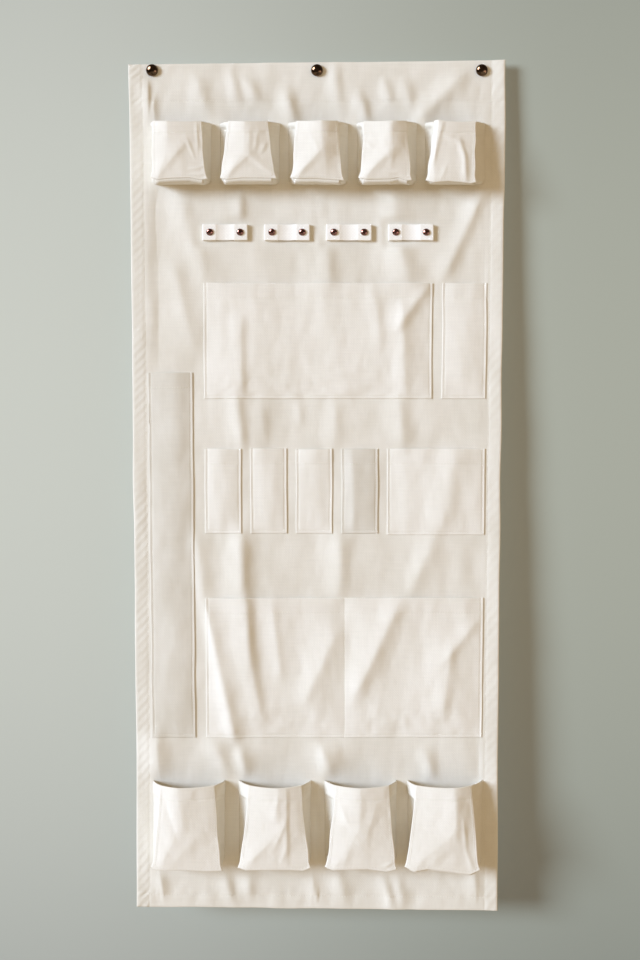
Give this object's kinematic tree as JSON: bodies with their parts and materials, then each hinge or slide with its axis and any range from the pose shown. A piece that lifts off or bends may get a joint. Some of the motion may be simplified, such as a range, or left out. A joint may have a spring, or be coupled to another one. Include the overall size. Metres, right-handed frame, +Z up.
{
  "type": "hanging wall organizer",
  "caption": "Cream canvas wall organizer on dome-headed nails, with rows of bellows pockets, riveted tool straps, flat pockets, a long ruler pocket and a double pocket.",
  "frame": {"origin": "on the wall plane at the axis of the centre hanging nail", "axes": "+X to the viewer's right, +Z up, the cloth faces -Y and the wall is the plane y = 0"},
  "size_m": [0.472, 0.0625, 1.0592],
  "materials": {
    "panel_canvas": "heavy unbleached cotton canvas, plain weave",
    "pocket_canvas": "heavy unbleached cotton canvas, plain weave",
    "gusset_canvas": "heavy unbleached cotton canvas, plain weave",
    "cotton_webbing": "thick woven cotton webbing",
    "polished_copper": "polished copper plate",
    "antique_brass": "antiqued brass, glossy",
    "eyelet_brass": "plain brass, satin"
  },
  "bodies": {
    "organizer": {"back_panel": "panel_canvas", "small_pocket_gusset_1": "gusset_canvas", "small_pocket_gusset_2": "gusset_canvas", "small_pocket_gusset_3": "gusset_canvas", "small_pocket_gusset_4": "gusset_canvas", "small_pocket_gusset_5": "gusset_canvas", "large_pocket_gusset_1": "gusset_canvas", "large_pocket_gusset_2": "gusset_canvas", "large_pocket_gusset_3": "gusset_canvas", "large_pocket_gusset_4": "gusset_canvas", "tool_strap_1": "cotton_webbing", "strap_rivet_1_left": "polished_copper", "strap_rivet_1_right": "polished_copper", "tool_strap_2": "cotton_webbing", "strap_rivet_2_left": "polished_copper", "strap_rivet_2_right": "polished_copper", "tool_strap_3": "cotton_webbing", "strap_rivet_3_left": "polished_copper", "strap_rivet_3_right": "polished_copper", "tool_strap_4": "cotton_webbing", "strap_rivet_4_left": "polished_copper", "strap_rivet_4_right": "polished_copper", "wide_pocket": "pocket_canvas", "narrow_pocket": "pocket_canvas", "ruler_pocket": "pocket_canvas", "pencil_pocket_1": "pocket_canvas", "pencil_pocket_2": "pocket_canvas", "pencil_pocket_3": "pocket_canvas", "pencil_pocket_4": "pocket_canvas", "notepad_pocket": "pocket_canvas", "double_pocket": "pocket_canvas", "eyelet_left": "eyelet_brass", "eyelet_washer_left": "eyelet_brass", "hanging_nail_left": "antique_brass", "eyelet_centre": "eyelet_brass", "eyelet_washer_centre": "eyelet_brass", "hanging_nail_centre": "antique_brass", "eyelet_right": "eyelet_brass", "eyelet_washer_right": "eyelet_brass", "hanging_nail_right": "antique_brass"},
    "small_bellows_1": {"small_pocket_front_1": "pocket_canvas"},
    "small_bellows_2": {"small_pocket_front_2": "pocket_canvas"},
    "small_bellows_3": {"small_pocket_front_3": "pocket_canvas"},
    "small_bellows_4": {"small_pocket_front_4": "pocket_canvas"},
    "small_bellows_5": {"small_pocket_front_5": "pocket_canvas"},
    "large_bellows_1": {"large_pocket_front_1": "pocket_canvas"},
    "large_bellows_2": {"large_pocket_front_2": "pocket_canvas"},
    "large_bellows_3": {"large_pocket_front_3": "pocket_canvas"},
    "large_bellows_4": {"large_pocket_front_4": "pocket_canvas"}
  },
  "joints": [
    {"name": "small_pocket_1_collapse", "type": "slide", "parent": "organizer", "child": "small_bellows_1", "axis": [0, 1, 0], "range_m": [0, 0.0175], "deforming": ["small_pocket_gusset_1"]},
    {"name": "small_pocket_2_collapse", "type": "slide", "parent": "organizer", "child": "small_bellows_2", "axis": [0, 1, 0], "range_m": [0, 0.0175], "deforming": ["small_pocket_gusset_2"]},
    {"name": "small_pocket_3_collapse", "type": "slide", "parent": "organizer", "child": "small_bellows_3", "axis": [0, 1, 0], "range_m": [0, 0.0175], "deforming": ["small_pocket_gusset_3"]},
    {"name": "small_pocket_4_collapse", "type": "slide", "parent": "organizer", "child": "small_bellows_4", "axis": [0, 1, 0], "range_m": [0, 0.0175], "deforming": ["small_pocket_gusset_4"]},
    {"name": "small_pocket_5_collapse", "type": "slide", "parent": "organizer", "child": "small_bellows_5", "axis": [0, 1, 0], "range_m": [0, 0.0175], "deforming": ["small_pocket_gusset_5"]},
    {"name": "large_pocket_1_collapse", "type": "slide", "parent": "organizer", "child": "large_bellows_1", "axis": [0, 1, 0], "range_m": [0, 0.0195], "deforming": ["large_pocket_gusset_1"]},
    {"name": "large_pocket_2_collapse", "type": "slide", "parent": "organizer", "child": "large_bellows_2", "axis": [0, 1, 0], "range_m": [0, 0.0195], "deforming": ["large_pocket_gusset_2"]},
    {"name": "large_pocket_3_collapse", "type": "slide", "parent": "organizer", "child": "large_bellows_3", "axis": [0, 1, 0], "range_m": [0, 0.0195], "deforming": ["large_pocket_gusset_3"]},
    {"name": "large_pocket_4_collapse", "type": "slide", "parent": "organizer", "child": "large_bellows_4", "axis": [0, 1, 0], "range_m": [0, 0.0195], "deforming": ["large_pocket_gusset_4"]}
  ]
}
